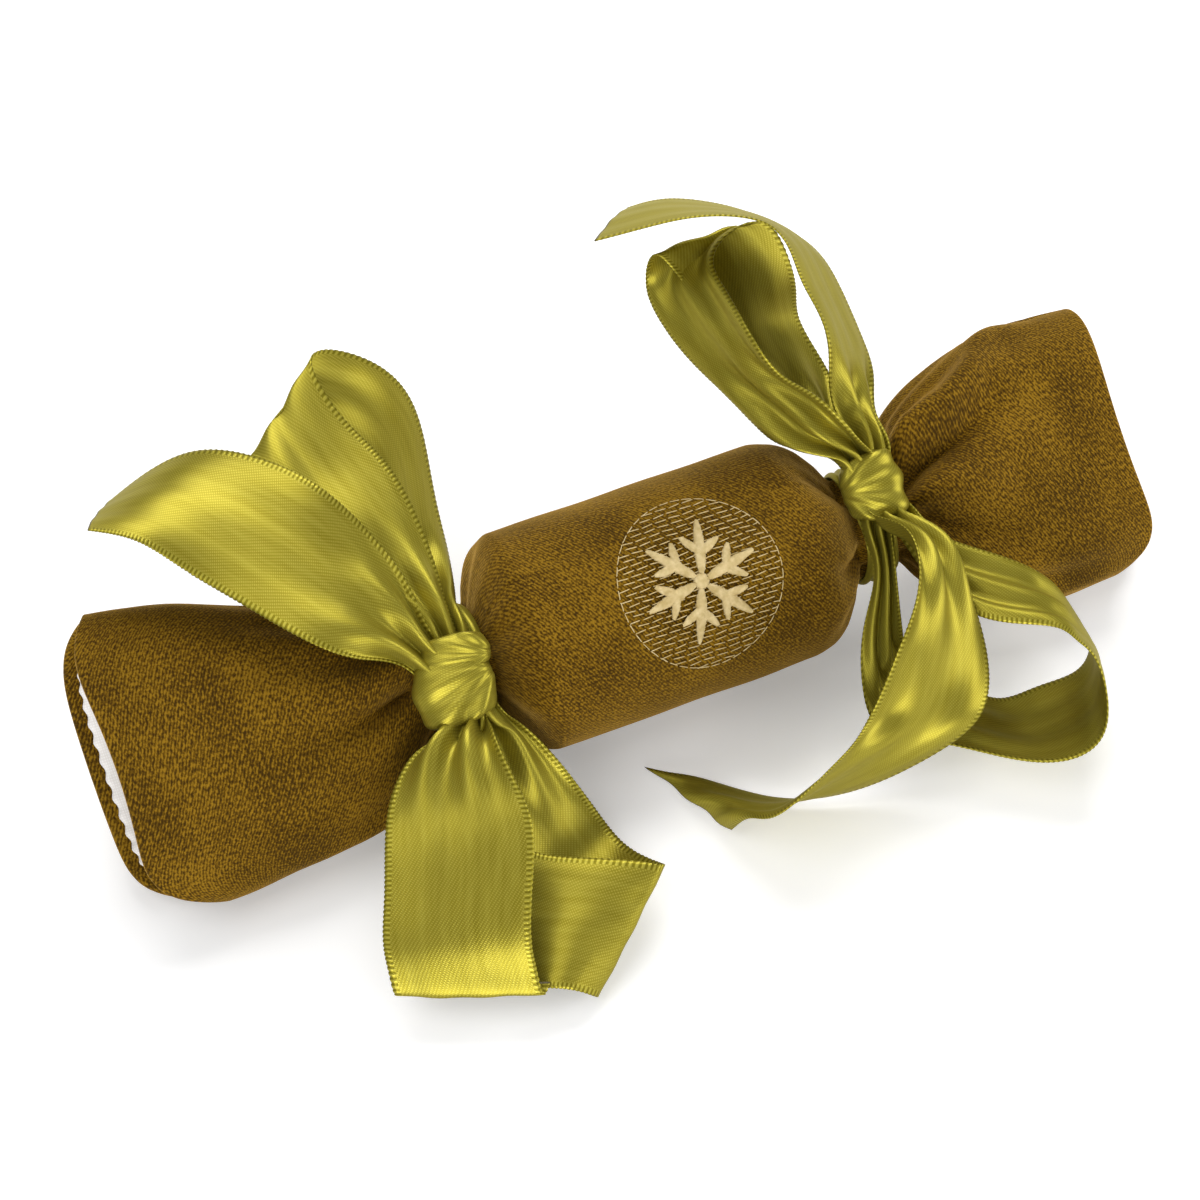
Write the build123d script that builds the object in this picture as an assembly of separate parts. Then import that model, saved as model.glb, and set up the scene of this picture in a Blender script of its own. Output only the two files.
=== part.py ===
from build123d import *
import os
from math import cos, pi, radians, sin

# Velvet christmas cracker tied with two satin bows, lying on its side on a table.
# Millimetres, +Z up. The barrel lies along X, with the left end towards -X.
# The origin is on the table, under the barrel.

# Driving dimensions: cloth and card layers
barrel_r = 20.5            # outside of the velvet over the card tube
velvet_wall = 1.2
lining_wall = 0.4
tube_wall = 1.2
layer_gap = 0.2            # between layers that move together
running_gap = 0.3          # between pieces that slide past each other
rest_flat = 0.5            # depth of the flat under the barrel

# Driving dimensions: lengths along the axis
left_neck_x = -39.5
right_neck_x = 41.5
left_shoulder = 8.5        # from the ribbon band to the full barrel
right_shoulder = 13.0
hem_depth = 2.0            # velvet turned in past the lining at each mouth

# Driving dimensions: necks
band_inner_r = 10.0
band_wall = 0.8
neck_half = 4.5            # half the length of a gathered neck
band_outside = 2.5         # how far a band reaches from the neck's middle towards its end
neck_play = 0.95           # between the band and the gathers of the end that swings in it
pleat_depth = 0.7          # rise and fall of the gathers at the neck
neck_split = 1.2           # barrel cloth stops this far inside the neck's middle
swing_room = 2.0           # end cloth starts this far outside it
pleats = 6
plain_arcs = 8             # arcs in an ungathered ring of cloth

# Driving dimensions: ribbons and bows
ribbon_width = 25.0
ribbon_thickness = 0.5
bow_azimuth = -22.8        # the way both bows face, degrees
bow_elevation = 55.0
knot_height = 15.3         # from the axis to the middle of a knot
left_knot_lean = 43.0      # degrees forward of upright, about the axis
right_knot_lean = 11.0
left_knot_shift = -3.5     # along the axis from the neck
right_knot_shift = -1.0
left_knot_size = (7.0, 7.2, 3.7)      # half sizes: right, up, out
right_knot_size = (4.8, 5.8, 3.2)

# Driving dimensions: embroidery
badge_x = 3.0
badge_lean = 33.5          # degrees forward of upright, about the axis
field_r = 15.0
field_thickness = 0.3
motif_thickness = 0.5
motif_arm = 11.0
motif_arm_width = 1.8

# Driving dimensions: snap and contents
strip_width = 5.0
strip_thickness = 0.4
snap_overlap = 20.0
left_strip_reach = 45.0    # past the left neck, inside the left end
right_strip_reach = 38.0
wrapper_length = 16.0
wrapper_wall = 0.3
crown_length = 44.0
crown_thickness = 1.4
crown_span = 130.0         # degrees of the tube that the curled crown covers
top_length = 26.0
motto_r = 2.4
motto_hole_r = 1.2
motto_length = 36.0
motto_turn = 52.0          # degrees up the curled crown, beside the top

profile_unit = 1.0         # length of one unit in the tables below, mm

# Soft profiles, read along each piece: share of the shoulder, share of the drop to the neck, gather depth
shoulder_profile = ((0.22, 0.66, 1.1), (0.48, 0.31, 0.9), (0.76, 0.07, 0.3), (1.0, 0.0, 0.0))
# Units from the neck, growth over the neck along and across the flat, gather depth, drift up the flat
left_end_profile = (
    (8, 2.4, 0.8, 1.2, -0.5),
    (13, 7.2, 1.7, 1.4, -1.5),
    (20, 10.9, 2.5, 1.2, -3.0),
    (32, 14.6, 3.1, 0.6, -2.0),
    (48, 17.6, 3.1, 0.2, 0.5),
    (65, 19.0, 2.6, 0.0, 1.5),
)
right_end_profile = (
    (7.5, 4.0, 1.2, 1.3, 0.5),
    (11, 8.6, 2.2, 1.5, 0.5),
    (20, 13.6, 3.2, 1.2, 0.5),
    (32, 17.0, 3.4, 0.7, 0.5),
    (44, 17.5, 3.2, 0.3, 0.5),
    (53, 17.0, 2.8, 0.0, 0.5),
)
flat_lie = 33.0            # slope of the flattened ends, degrees from level

# Ribbon stations: right, up and out from the knot in units, then the turn and lean of the width in degrees,
# and the share of the ribbon's width that is spread there
left_bow = {
    "left_upper_tail": (
        (-6, 5.2, 1.9, 50, -10, 0.3), (-11, 10, 4.5, 60, -25, 0.6), (-19, 16, 5, 65, -30, 0.95),
        (-29, 23, 4, 60, -20, 1), (-40, 29, 2, 60, -25, 1),
        (-50, 32, 0, 70, -45, 1), (-62, 29, -3, 90, -75, 1),
    ),
    "left_upper_loop": (
        (-2.8, 7.9, -0.3, 25, -10, 0.25), (-5, 12, -0.5, 25, -25, 0.35), (-10, 18, -2.5, 30, -30, 0.65),
        (-17, 27, -5, 40, -35, 0.95), (-24, 35, -8, 40, -30, 0.95), (-30, 43, -10.5, 48, -25, 0.85),
        (-32, 48, -13, 60, -20, 0.9), (-24, 50, -18, 55, -30, 0.9), (-14, 42, -24, 50, -50, 1),
        (-10, 27, -19, 30, -60, 1),
        (-5, 15, -9, 15, -45, 0.5), (-3.5, 12, -4, 15, -30, 0.35), (-0.8, 8, -1.5, 20, -10, 0.25),
    ),
    "left_lower_tail": (
        (2, -7.6, 1.2, 5, 0, 0.3), (1, -9, 3.5, 5, 10, 0.45), (0, -14, 7, 5, 15, 0.75),
        (1, -24, 10, 5, 10, 1), (1, -36, 11, 2, 5, 1), (1, -45, 11, 0, 2, 1),
        (2, -50, 10, 0, 0, 1), (3, -53, 9, 0, 0, 1), (4, -51, 8, 0, 0, 1),
    ),
    "left_lower_loop": (
        (5.2, -6.9, -1.2, 10, 0, 0.3), (7, -9, -2.5, 25, -20, 0.35), (10, -17, -4.5, 25, -25, 0.7),
        (15, -29, -7, 30, -30, 1), (22, -38, -5, 40, -20, 1), (30, -43, 2, 65, 0, 1),
        (26, -42, 4, 70, -10, 0.95), (10, -40, 2.5, 75, -10, 0.9), (3, -34, 3, 50, -15, 0.9),
        (0.5, -21, 1.5, 15, -20, 0.7), (1.5, -10, 0.5, 10, -10, 0.35), (2.5, -7.7, 0, 5, 0, 0.3),
    ),
}
right_bow = {
    "right_upper_loop": (
        (-3.4, 5.2, 1.6, 20, -10, 0.25), (-10, 9, 3, 20, -25, 0.5), (-15, 13, 2, 25, -35, 0.6),
        (-21, 18, -1, 20, -50, 0.65), (-27, 25, -4, 20, -40, 0.55), (-34, 41, -8, 25, -40, 0.55),
        (-30, 46, -13, 20, -25, 0.9), (-25, 42, -18, 10, -20, 0.9), (-22, 36, -20, 10, -25, 0.85),
        (-20, 30, -21, 20, -35, 0.8), (-15, 23, -19, 15, -35, 0.8), (-10, 15, -13, 15, -40, 0.6),
        (-6, 8, -5, 15, -25, 0.3), (-2.2, 6.5, -1.6, 20, -10, 0.25),
    ),
    "right_upper_tail": (
        (0.8, 6.8, 0, 10, -10, 0.2), (-2, 14, -3.5, 5, -50, 0.4), (-3, 21, -5, 10, -65, 0.85),
        (-5, 29, -5, 10, -70, 1), (-9, 37, -2.5, 20, -70, 1), (-13, 43, 2, 35, -75, 1),
        (-19, 47, 5, 60, -80, 1), (-28, 49, 6, 60, -75, 1),
        (-38, 49, 5.5, 70, -70, 1), (-47, 47, 4, 55, -65, 1),
    ),
    "right_lower_tail": (
        (2.6, -5.2, 2, 10, -5, 0.25), (6, -7.5, 5, 5, -20, 0.3), (9.5, -10.5, 9.5, 0, -30, 0.4),
        (11, -16, 13, 0, -40, 0.55), (11, -32, 13.5, -5, -35, 0.9), (8, -41, 12, -5, -15, 0.8),
        (-1, -49, 11, -20, -55, 0.9), (-10, -54, 10, -40, -75, 0.9), (-19, -57, 9, 115, -85, 0.85),
        (-27, -56, 5, 145, -60, 0.8), (-33, -56, -1.5, 145, -30, 0.85),
    ),
    "right_lower_loop": (
        (5, -4.8, 0, 60, -10, 0.2), (11, -13, 0.5, 95, -35, 0.45), (25, -19, 3.5, 85, -45, 0.6),
        (32, -21, 3, 85, -60, 0.65), (37, -25, -1, 60, -75, 0.95), (40, -29, -2.5, 40, -80, 1),
        (41, -33, -3.5, 75, -80, 1), (40, -38, -4, 105, -70, 1), (35, -42, -4, 115, -60, 1),
        (28, -44, -4.5, 115, -60, 0.95), (16, -41, -5, 100, -55, 0.8), (9, -40, -4, 85, -55, 0.7),
        (4, -38, -1, 65, -40, 0.6), (2, -33, 2.5, 45, -30, 0.45), (1.5, -27, 3, 20, -15, 0.3),
        (2, -13, 0.5, 10, 0, 0.15), (0.8, -6.5, -1.2, 10, 0, 0.2),
    ),
}

# Sizes worked out from those above
axis_z = barrel_r - rest_flat
neck_r = band_inner_r - neck_play - pleat_depth
lining_inset = velvet_wall + layer_gap
tube_outer_r = barrel_r - lining_inset - lining_wall - layer_gap
tube_inner_r = tube_outer_r - tube_wall
left_full_x = left_neck_x + neck_half + left_shoulder
right_full_x = right_neck_x - neck_half - right_shoulder
tube_length = right_full_x - left_full_x
tube_mid_x = (right_full_x + left_full_x) / 2
wrapper_height = 2 * strip_thickness + layer_gap + 2 * running_gap + 2 * wrapper_wall
crown_inner_r = tube_inner_r - layer_gap - crown_thickness
top_disc_r = (crown_inner_r - wrapper_height / 2 - 2 * layer_gap) / 2
long_way = Vector(0, cos(radians(flat_lie)), sin(radians(flat_lie)))
short_way = Vector(0, -sin(radians(flat_lie)), cos(radians(flat_lie)))
bow_right = Vector(cos(radians(bow_azimuth)), sin(radians(bow_azimuth)), 0)
bow_out = Vector(
    sin(radians(bow_azimuth)) * cos(radians(bow_elevation)),
    -cos(radians(bow_azimuth)) * cos(radians(bow_elevation)),
    sin(radians(bow_elevation)),
)
bow_up = bow_out.cross(bow_right)


# Cloth sleeves

def ring(station, inset, arcs, gathered):
    """A ring of cloth round the axis. Its arcs go out and in by turns where it is gathered."""
    x, half_long, half_short, pleat, drift = station
    centre = Vector(x, 0, axis_z) + long_way * drift
    step = 2 * pi / arcs

    def spot(turns, rise):
        along = (half_long - inset + rise) * cos(turns * step)
        across = (half_short - inset + rise) * sin(turns * step)
        return centre + long_way * along + short_way * across

    edges = []
    for k in range(arcs):
        rise = (pleat, -pleat)[k % 2] if gathered else 0
        edges.append(Edge.make_three_point_arc(spot(k, 0), spot(k + 0.5, rise), spot(k + 1, 0)))
    return Wire(edges)


def skin(rings):
    """The faces of a sleeve's surface, without its ends."""
    return [face for face in Solid.make_loft(rings, ruled=True).faces() if face.geom_type != GeomType.PLANE]


def sleeve(stations, inset, wall, gathered):
    """A layer of cloth of the given wall, lying that far inside the sleeve's outer surface."""
    if gathered:
        outside = [ring(station, inset, 2 * pleats, True) for station in stations]
    else:
        outside = [ring(station, inset + station[3], plain_arcs, False) for station in stations]
    inside = [ring(station, inset + wall + station[3], plain_arcs, False) for station in stations]
    ends = [Face(outside[k], [inside[k]]) for k in (0, -1)]
    return Solid(Shell(skin(outside) + skin(inside) + ends))


def shoulder(neck_x, inward, length):
    """Barrel stations from a neck to the full barrel."""
    band_edge = neck_x + inward * neck_half
    stations = [
        (neck_x + inward * neck_split, neck_r, neck_r, pleat_depth, 0),
        (band_edge, neck_r + layer_gap, neck_r + layer_gap, pleat_depth, 0),
    ]
    for along, drop, pleat in shoulder_profile:
        r = barrel_r - drop * (barrel_r - neck_r)
        stations.append((band_edge + inward * along * length, r, r, pleat, 0))
    return stations


def barrel_stations():
    """Left shoulder, then right shoulder, with the straight barrel between."""
    return shoulder(left_neck_x, 1, left_shoulder) + shoulder(right_neck_x, -1, right_shoulder)[::-1]


def end_stations(neck_x, outward, profile):
    """End stations from the neck to past the rim."""
    stations = [
        (neck_x + outward * swing_room, neck_r, neck_r, pleat_depth, 0),
        (neck_x + outward * neck_half, neck_r, neck_r, pleat_depth, 0),
    ]
    for row in profile:
        along, grow_long, grow_short, pleat, drift = (profile_unit * value for value in row)
        stations.append((neck_x + outward * along, neck_r + grow_long, neck_r + grow_short, pleat, drift))
    return stations


def end_layer(neck_x, outward, profile, inset, wall, hem, gathered):
    """A layer of an end, its rim drawn back from the mouth by the hem."""
    stations = end_stations(neck_x, outward, profile)
    before, rim = stations[-2:]
    share = 1 - hem / abs(rim[0] - before[0])
    stations[-1] = tuple(b + (r - b) * share for b, r in zip(before, rim))
    return sleeve(stations, inset, wall, gathered)


def above_table(shape):
    """The part of a shape that is above the table."""
    size = 4 * barrel_r
    return (shape - Pos(tube_mid_x, 0, -size / 2) * Box(4 * size, size, size)).solids()[0]


def make_cloth():
    barrel = barrel_stations()
    nodes = {
        "velvet_barrel": above_table(sleeve(barrel, 0, velvet_wall, True)),
        "lining_barrel": sleeve(barrel, lining_inset, lining_wall, False),
    }
    ends = (("left", left_neck_x, -1, left_end_profile), ("right", right_neck_x, 1, right_end_profile))
    for side, neck_x, outward, profile in ends:
        nodes[f"velvet_{side}_end"] = end_layer(neck_x, outward, profile, 0, velvet_wall, 0, True)
        nodes[f"lining_{side}_end"] = end_layer(
            neck_x, outward, profile, lining_inset, lining_wall, hem_depth, False)
    return nodes


# Card tube, snap and contents

def along_x(r, length, x, y=0, z=axis_z):
    """Round bar along X with its middle at the given place."""
    return Pos(x, y, z) * Rot(0, 90, 0) * Cylinder(r, length)


def make_tube():
    length = tube_length - 2 * layer_gap
    bore = along_x(tube_inner_r, length + 2 * layer_gap, tube_mid_x)
    return along_x(tube_outer_r, length, tube_mid_x) - bore


def snap_strip(start_x, end_x, level):
    """One card strip of the snap, between two places along the axis."""
    strip = Box(abs(end_x - start_x), strip_width, strip_thickness)
    return Pos((start_x + end_x) / 2, 0, axis_z + level) * strip


def make_snap():
    level = (strip_thickness + layer_gap) / 2
    inner_width = strip_width + 2 * running_gap
    outside = Box(wrapper_length, inner_width + 2 * wrapper_wall, wrapper_height)
    hollow = Box(wrapper_length + 2 * layer_gap, inner_width, wrapper_height - 2 * wrapper_wall)
    return {
        "snap_strip_left": snap_strip(snap_overlap / 2, left_neck_x - left_strip_reach, -level),
        "snap_strip_right": snap_strip(-snap_overlap / 2, right_neck_x + right_strip_reach, level),
        "snap_wrapper": Pos(0, 0, axis_z) * (outside - hollow),
    }


def make_crown():
    """Folded paper crown, curled against the bottom of the tube."""
    half = radians(crown_span / 2)
    middle_r = crown_inner_r + crown_thickness / 2
    ends = [Vector(0, middle_r * sin(a), axis_z - middle_r * cos(a)) for a in (-half, 0, half)]
    path = Edge.make_three_point_arc(*ends)
    plane = Plane(origin=path @ 0, z_dir=path % 0, x_dir=(1, 0, 0))
    section = plane * Rectangle(crown_length, crown_thickness)
    return Pos(tube_mid_x, 0, 0) * sweep(section, path)


def make_top():
    """Turned wooden spinning top, lying along the barrel in the curled crown."""
    seat_r = crown_inner_r - layer_gap - top_disc_r
    stem_r = top_disc_r * 0.22
    half = top_length / 2
    outline = Polyline(
        (-half, 0), (-half * 0.5, top_disc_r * 0.55), (-half * 0.15, top_disc_r), (half * 0.2, top_disc_r),
        (half * 0.35, stem_r), (half * 0.95, stem_r), (half, stem_r * 0.7), (half, 0), close=True)
    return Pos(tube_mid_x, 0, axis_z - seat_r) * revolve(make_face(outline), Axis.X)


def make_motto():
    """Rolled slip of paper, beside the top."""
    seat_r = crown_inner_r - layer_gap - motto_r
    y = seat_r * sin(radians(motto_turn))
    z = axis_z - seat_r * cos(radians(motto_turn))
    roll = along_x(motto_r, motto_length, tube_mid_x, y, z)
    return roll - along_x(motto_hole_r, motto_length + 2 * layer_gap, tube_mid_x, y, z)


# Embroidery on the barrel

def thread_layer(lift, thickness):
    """Round layer of thread over the barrel, at a height above the velvet."""
    inner_r = barrel_r + lift
    length = 2 * field_r + 2 * barrel_r
    return along_x(inner_r + thickness, length, badge_x) - along_x(inner_r, length + 2 * layer_gap, badge_x)


def badge_prism(sketch):
    """A flat outline pushed out from the axis along the badge's own direction."""
    lean = radians(badge_lean)
    plane = Plane(origin=(badge_x, 0, axis_z), x_dir=(1, 0, 0), z_dir=(0, -sin(lean), cos(lean)))
    return extrude(plane * sketch, amount=2 * barrel_r)


def motif_sketch():
    """Six arms, each a spindle with two shorter side spindles."""
    half = motif_arm_width / 2
    spindle = Polygon((0, 0), (0.6 * motif_arm, -half), (motif_arm, 0), (0.6 * motif_arm, half), align=None)
    side_mid, side_half = 0.22 * motif_arm, 0.7 * half
    side = Polygon((0, 0), (side_mid, -side_half), (0.4 * motif_arm, 0), (side_mid, side_half), align=None)
    outline = Circle(motif_arm_width)
    for k in range(6):
        arm = spindle
        for turn in (-50, 50):
            arm += Pos(0.45 * motif_arm, 0) * Rot(0, 0, turn) * side
        outline += Rot(0, 0, 60 * k) * arm
    return outline


def make_embroidery():
    motif_lift = 2 * layer_gap + field_thickness
    return {
        "embroidery_field": thread_layer(layer_gap, field_thickness) & badge_prism(Circle(field_r)),
        "embroidery_motif": thread_layer(motif_lift, motif_thickness) & badge_prism(motif_sketch()),
    }


# Bows

def knot_centre(x, lean):
    return Vector(x, -knot_height * sin(radians(lean)), axis_z + knot_height * cos(radians(lean)))


def make_knot(centre, half_sizes):
    """A knot: a plump wrap, drawn in at both sides."""
    half_right, half_up, half_out = half_sizes
    rings = []
    for along, share in ((-1, 0.55), (-0.6, 0.9), (0, 1), (0.6, 0.9), (1, 0.55)):
        middle = centre + bow_right * (along * half_right)
        arcs = []
        for k in range(8):
            spots = [
                middle + bow_up * (share * half_up * cos(a)) + bow_out * (share * half_out * sin(a))
                for a in ((k + part) * pi / 4 for part in (0, 0.5, 1))
            ]
            arcs.append(Edge.make_three_point_arc(*spots))
        rings.append(Wire(arcs))
    return Solid.make_loft(rings)


def ribbon(centre, stations):
    """A length of ribbon through its stations, as one thin solid."""
    middles, sides = [], []
    for right, up, out, turn, lean, share in stations:
        t, n = radians(turn), radians(lean)
        middles.append(centre + (bow_right * right + bow_up * up + bow_out * out) * profile_unit)
        way = bow_right * (cos(n) * cos(t)) + bow_up * (cos(n) * sin(t)) + bow_out * sin(n)
        sides.append(way * (ribbon_width * share / 2))
    corners = []
    for k, (middle, side) in enumerate(zip(middles, sides)):
        along = middles[min(k + 1, len(middles) - 1)] - middles[max(k - 1, 0)]
        thick = side.cross(along).normalized() * (ribbon_thickness / 2)
        left, right = middle - side, middle + side
        corners.append((right + thick, left + thick, left - thick, right - thick))
    travel = [0.0]
    for here, there in zip(middles, middles[1:]):
        travel.append(travel[-1] + (there - here).length)
    shares = [along / travel[-1] for along in travel]
    lines = [Edge.make_spline(list(line), parameters=shares) for line in zip(*corners)]
    faces = [Face.make_surface_from_curves(lines[k - 1], lines[k]) for k in range(4)]
    caps = [Face(Wire.make_polygon(corners[k], close=True)) for k in (0, -1)]
    return Solid(Shell(faces + caps))


def make_band(neck_x, outward):
    """The ribbon round a neck."""
    width = neck_half + band_outside
    x = neck_x + outward * (band_outside - neck_half) / 2
    return along_x(band_inner_r + band_wall, width, x) - along_x(band_inner_r, width + 2 * layer_gap, x)


def make_bow(side, neck_x, outward, knot, stations_by_name):
    shift, lean, half_sizes = knot
    centre = knot_centre(neck_x + shift, lean)
    bow = {side + "_ribbon_band": make_band(neck_x, outward), side + "_knot": make_knot(centre, half_sizes)}
    for name, stations in stations_by_name.items():
        bow[name] = ribbon(centre, stations)
    return bow


def main():
    nodes = make_cloth()
    nodes["card_tube"] = make_tube()
    nodes.update(make_snap())
    nodes["paper_crown"] = make_crown()
    nodes["gift_top"] = make_top()
    nodes["motto_roll"] = make_motto()
    nodes.update(make_embroidery())
    left_knot = (left_knot_shift, left_knot_lean, left_knot_size)
    right_knot = (right_knot_shift, right_knot_lean, right_knot_size)
    nodes.update(make_bow("left", left_neck_x, -1, left_knot, left_bow))
    nodes.update(make_bow("right", right_neck_x, 1, right_knot, right_bow))
    os.makedirs("parts", exist_ok=True)
    for name, shape in nodes.items():
        export_step(shape, f"parts/{name}.step")


main()
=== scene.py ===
import math

import bpy
import numpy as np
from mathutils import Matrix


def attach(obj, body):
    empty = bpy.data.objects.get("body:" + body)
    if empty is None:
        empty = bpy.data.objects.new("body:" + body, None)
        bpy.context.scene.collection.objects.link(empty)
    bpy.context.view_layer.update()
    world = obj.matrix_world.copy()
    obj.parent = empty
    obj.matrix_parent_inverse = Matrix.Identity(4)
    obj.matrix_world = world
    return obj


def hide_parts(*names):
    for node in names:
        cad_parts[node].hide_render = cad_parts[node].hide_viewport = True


# Velvet christmas cracker with satin bows. The frame is in metres, and the shapes below are in mm.

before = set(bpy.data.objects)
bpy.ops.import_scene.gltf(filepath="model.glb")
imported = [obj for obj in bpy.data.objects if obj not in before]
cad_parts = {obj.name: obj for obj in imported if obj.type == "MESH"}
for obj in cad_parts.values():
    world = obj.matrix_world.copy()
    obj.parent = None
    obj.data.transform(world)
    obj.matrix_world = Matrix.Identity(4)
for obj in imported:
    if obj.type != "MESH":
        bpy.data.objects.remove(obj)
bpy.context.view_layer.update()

MM = 0.001
AXIS_Z = 20.0
BARREL_R = 20.5
NECK_R = 8.35
NECK_X = {"left": -39.5, "right": 41.5}
OUTWARD = {"left": -1, "right": 1}
BAND_INWARD = 4.5
BAND_OUTWARD = 2.5
BAND_R = 10.2
RIBBON_WIDTH = 25.0
RIBBON_THICKNESS = 0.28
TOOTH_PITCH = 0.85
TOOTH_DEPTH = 0.16
SELVEDGE = 1.1
VELVET_WALL = 1.2
LINING_INSET = 1.8
LINING_WALL = 0.3
FLAT_LIE = math.radians(33)
LONG_WAY = np.array([0, math.cos(FLAT_LIE), math.sin(FLAT_LIE)])
SHORT_WAY = np.array([0, -math.sin(FLAT_LIE), math.cos(FLAT_LIE)])

# The way the bows face, which is also the way the camera looks from
AZIMUTH = math.radians(-22.8)
ELEVATION = math.radians(55)
RIGHT = np.array([math.cos(AZIMUTH), math.sin(AZIMUTH), 0])
OUT = np.array([
    math.sin(AZIMUTH) * math.cos(ELEVATION),
    -math.cos(AZIMUTH) * math.cos(ELEVATION),
    math.sin(ELEVATION),
])
UP = np.cross(OUT, RIGHT)

# Bows: the knot's height over the axis, its lean and its shift along the axis. Each ribbon is a row of
# stations from the knot: right, up and out in mm, the turn and lean of its width in degrees, and the
# share of the width that is spread.
KNOT_HEIGHT = 15.3
KNOT_LEAN = {"left": math.radians(43), "right": math.radians(11)}
KNOT_SHIFT = {"left": -3.5, "right": -1.0}
STATIONS = {
    "left_upper_tail": (
        (-6, 5.2, 1.9, 50, -10, 0.3), (-11, 10, 4.5, 60, -25, 0.6), (-19, 16, 5, 65, -30, 0.95),
        (-29, 23, 4, 60, -20, 1), (-40, 29, 2, 60, -25, 1),
        (-50, 32, 0, 70, -45, 1), (-62, 29, -3, 90, -75, 1),
    ),
    "left_upper_loop": (
        (-2.8, 7.9, -0.3, 25, -10, 0.25), (-5, 12, -0.5, 25, -25, 0.35), (-10, 18, -2.5, 30, -30, 0.65),
        (-17, 27, -5, 40, -35, 0.95), (-24, 35, -8, 40, -30, 0.95), (-30, 43, -10.5, 48, -25, 0.85),
        (-32, 48, -13, 60, -20, 0.9), (-24, 50, -18, 55, -30, 0.9), (-14, 42, -24, 50, -50, 1),
        (-10, 27, -19, 30, -60, 1),
        (-5, 15, -9, 15, -45, 0.5), (-3.5, 12, -4, 15, -30, 0.35), (-0.8, 8, -1.5, 20, -10, 0.25),
    ),
    "left_lower_tail": (
        (2, -7.6, 1.2, 5, 0, 0.3), (1, -9, 3.5, 5, 10, 0.45), (0, -14, 7, 5, 15, 0.75),
        (1, -24, 10, 5, 10, 1), (1, -36, 11, 2, 5, 1), (1, -45, 11, 0, 2, 1),
        (2, -50, 10, 0, 0, 1), (3, -53, 9, 0, 0, 1), (4, -51, 8, 0, 0, 1),
    ),
    "left_lower_loop": (
        (5.2, -6.9, -1.2, 10, 0, 0.3), (7, -9, -2.5, 25, -20, 0.35), (10, -17, -4.5, 25, -25, 0.7),
        (15, -29, -7, 30, -30, 1), (22, -38, -5, 40, -20, 1), (30, -43, 2, 65, 0, 1),
        (26, -42, 4, 70, -10, 0.95), (10, -40, 2.5, 75, -10, 0.9), (3, -34, 3, 50, -15, 0.9),
        (0.5, -21, 1.5, 15, -20, 0.7), (1.5, -10, 0.5, 10, -10, 0.35), (2.5, -7.7, 0, 5, 0, 0.3),
    ),
    "right_upper_loop": (
        (-3.4, 5.2, 1.6, 20, -10, 0.25), (-10, 9, 4, 20, 20, 0.5), (-15, 13, 4, 25, 35, 0.6),
        (-21, 18, 2, 20, 50, 0.65), (-27, 25, 1, 20, 60, 0.85), (-32, 33, -3, 23, 50, 0.75),
        (-34, 41, -7, 25, 15, 0.6), (-29, 46, -9, 20, -25, 0.95), (-25, 42, -11, 10, -28, 1),
        (-22, 36, -13, 10, -38, 1), (-20, 30, -15, 20, -45, 1), (-15, 23, -16, 15, -45, 0.9),
        (-10, 15, -12, 15, -40, 0.6), (-6, 8, -5, 15, -25, 0.3), (-2.2, 6.5, -1.6, 20, -10, 0.25),
    ),
    "right_upper_tail": (
        (0.8, 6.8, 0, 10, -10, 0.2), (-2, 14, -3.5, 5, -50, 0.4), (-3, 21, -5, 10, -65, 0.85),
        (-5, 29, -5, 10, -70, 1), (-9, 37, -2.5, 20, -70, 1), (-13, 43, 2, 35, -75, 1),
        (-19, 47, 5, 60, -80, 1), (-28, 49, 6, 60, -75, 1),
        (-38, 49, 5.5, 70, -70, 1), (-47, 47, 4, 55, -65, 1),
    ),
    "right_lower_tail": (
        (2.6, -5.2, 2, 10, -5, 0.25), (6, -7.5, 5, 5, -20, 0.3), (9.5, -10.5, 9.5, 0, -30, 0.4),
        (11, -16, 13, 0, -40, 0.55), (11, -32, 13.5, -5, -35, 0.9), (8, -41, 12, -5, -15, 0.8),
        (-1, -49, 11, -20, -55, 0.9), (-10, -54, 10, -40, -75, 0.9), (-19, -57, 9, 115, -85, 0.85),
        (-27, -56, 5, 145, -60, 0.8), (-33, -56, -1.5, 145, -30, 0.85),
    ),
    "right_lower_loop": (
        (5, -4.8, 0, 60, -10, 0.2), (11, -13, 0.5, 95, -35, 0.45), (25, -19, 3.5, 85, -45, 0.6),
        (32, -21, 3, 85, -60, 0.65), (37, -25, -1, 60, -75, 0.95), (40, -29, -2.5, 40, -80, 1),
        (41, -33, -3.5, 75, -80, 1), (40, -38, -4, 105, -70, 1), (35, -42, -4, 115, -60, 1),
        (28, -44, -4.5, 115, -60, 0.95), (16, -41, -5, 100, -55, 0.8), (9, -40, -4, 85, -55, 0.7),
        (4, -38, -1, 65, -40, 0.6), (2, -33, 2.5, 45, -30, 0.45), (1.5, -27, 3, 20, -15, 0.3),
        (2, -13, 0.5, 10, 0, 0.15), (0.8, -6.5, -1.2, 10, 0, 0.2),
    ),
}

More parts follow.
